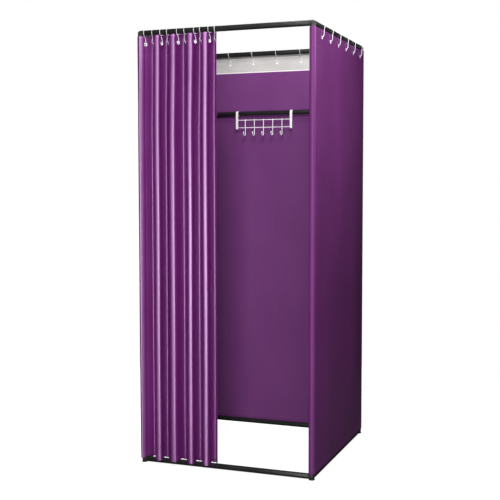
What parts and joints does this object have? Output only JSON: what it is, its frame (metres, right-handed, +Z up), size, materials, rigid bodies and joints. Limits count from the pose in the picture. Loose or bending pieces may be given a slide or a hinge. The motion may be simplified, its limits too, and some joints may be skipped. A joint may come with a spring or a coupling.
{
  "type": "portable fitting room",
  "caption": "Free-standing plug-together tube frame hung with a wall curtain round three sides, a draw curtain on ring hooks across the entrance, and a sliding hook rack on a bar inside.",
  "frame": {"origin": "middle of the footprint, on the floor", "axes": "+Z up, +X to the right seen from the entrance, +Y from the entrance to the back"},
  "size_m": [0.8634, 0.9078, 2.003],
  "materials": {
    "steel_tube": "satin black powder coat",
    "moulded_black": "fine-grained moulding",
    "draw_satin": "purple satin weave with a soft sheen",
    "wall_satin": "purple satin weave, hung taut",
    "heading_tape": "pale woven stiffening tape",
    "eyelet_rim": "white moulded eyelet",
    "bright_wire": "bright plated wire",
    "white_enamel": "white enamel on steel"
  },
  "bodies": {
    "root": {"top_rail_front": "steel_tube", "top_rail_back": "steel_tube", "top_rail_left": "steel_tube", "top_rail_right": "steel_tube", "bottom_rail_front": "steel_tube", "bottom_rail_back": "steel_tube", "bottom_rail_left": "steel_tube", "bottom_rail_right": "steel_tube", "corner_top_front_left": "moulded_black", "corner_top_front_right": "moulded_black", "corner_top_back_right": "moulded_black", "corner_top_back_left": "moulded_black", "corner_bottom_front_left": "moulded_black", "corner_bottom_front_right": "moulded_black", "corner_bottom_back_right": "moulded_black", "corner_bottom_back_left": "moulded_black", "post_lower_front_left": "steel_tube", "post_lower_front_right": "steel_tube", "post_lower_back_right": "steel_tube", "post_lower_back_left": "steel_tube", "post_upper_front_left": "steel_tube", "post_upper_front_right": "steel_tube", "post_upper_back_right": "steel_tube", "post_upper_back_left": "steel_tube", "bar_saddle_left": "moulded_black", "bar_saddle_right": "moulded_black", "mid_bar": "steel_tube", "wall_curtain": "wall_satin", "front_curtain": "draw_satin", "front_hook_01": "bright_wire", "wall_hook_left_1": "bright_wire", "wall_hook_left_2": "bright_wire", "wall_hook_left_3": "bright_wire", "wall_hook_left_4": "bright_wire", "wall_hook_left_5": "bright_wire", "wall_hook_left_6": "bright_wire", "wall_hook_right_1": "bright_wire", "wall_hook_right_2": "bright_wire", "wall_hook_right_3": "bright_wire", "wall_hook_right_4": "bright_wire", "wall_hook_right_5": "bright_wire", "wall_hook_right_6": "bright_wire", "wall_hook_back_1": "bright_wire", "wall_hook_back_2": "bright_wire", "wall_hook_back_3": "bright_wire", "wall_hook_back_4": "bright_wire", "wall_hook_back_5": "bright_wire", "wall_hook_back_6": "bright_wire"},
    "draw_hook_02": {"front_hook_02": "bright_wire"},
    "draw_hook_03": {"front_hook_03": "bright_wire"},
    "draw_hook_04": {"front_hook_04": "bright_wire"},
    "draw_hook_05": {"front_hook_05": "bright_wire"},
    "draw_hook_06": {"front_hook_06": "bright_wire"},
    "draw_hook_07": {"front_hook_07": "bright_wire"},
    "draw_hook_08": {"front_hook_08": "bright_wire"},
    "draw_hook_09": {"front_hook_09": "bright_wire"},
    "draw_hook_10": {"front_hook_10": "bright_wire"},
    "hook_rack": {"rack_strap_left": "white_enamel", "rack_strap_right": "white_enamel", "rack_grid": "white_enamel"}
  },
  "joints": [
    {"name": "curtain_draw", "type": "slide", "parent": "root", "child": "draw_hook_02", "axis": [1, 0, 0], "range_m": [-0.01, 0.0447], "deforming": ["front_curtain"]},
    {"name": "draw_hook_03_slide", "type": "slide", "parent": "draw_hook_02", "child": "draw_hook_03", "axis": [1, 0, 0], "range_m": [-0.0103, 0.0458]},
    {"name": "draw_hook_04_slide", "type": "slide", "parent": "draw_hook_03", "child": "draw_hook_04", "axis": [1, 0, 0], "range_m": [-0.0118, 0.0522]},
    {"name": "draw_hook_05_slide", "type": "slide", "parent": "draw_hook_04", "child": "draw_hook_05", "axis": [1, 0, 0], "range_m": [-0.0083, 0.0365]},
    {"name": "draw_hook_06_slide", "type": "slide", "parent": "draw_hook_05", "child": "draw_hook_06", "axis": [1, 0, 0], "range_m": [-0.0112, 0.0497]},
    {"name": "draw_hook_07_slide", "type": "slide", "parent": "draw_hook_06", "child": "draw_hook_07", "axis": [1, 0, 0], "range_m": [-0.0088, 0.0386]},
    {"name": "draw_hook_08_slide", "type": "slide", "parent": "draw_hook_07", "child": "draw_hook_08", "axis": [1, 0, 0], "range_m": [-0.0127, 0.0563]},
    {"name": "draw_hook_09_slide", "type": "slide", "parent": "draw_hook_08", "child": "draw_hook_09", "axis": [1, 0, 0], "range_m": [-0.0103, 0.0456]},
    {"name": "draw_hook_10_slide", "type": "slide", "parent": "draw_hook_09", "child": "draw_hook_10", "axis": [1, 0, 0], "range_m": [-0.0125, 0.0556]},
    {"name": "rack_slide", "type": "slide", "parent": "root", "child": "hook_rack", "axis": [1, 0, 0], "range_m": [-0.1, 0.32]}
  ],
  "couplings": [
    {"joint": "draw_hook_03_slide", "follows": "curtain_draw", "ratio": 1.02},
    {"joint": "draw_hook_04_slide", "follows": "curtain_draw", "ratio": 1.165},
    {"joint": "draw_hook_05_slide", "follows": "curtain_draw", "ratio": 0.814},
    {"joint": "draw_hook_06_slide", "follows": "curtain_draw", "ratio": 1.109},
    {"joint": "draw_hook_07_slide", "follows": "curtain_draw", "ratio": 0.861},
    {"joint": "draw_hook_08_slide", "follows": "curtain_draw", "ratio": 1.257},
    {"joint": "draw_hook_09_slide", "follows": "curtain_draw", "ratio": 1.018},
    {"joint": "draw_hook_10_slide", "follows": "curtain_draw", "ratio": 1.241}
  ]
}
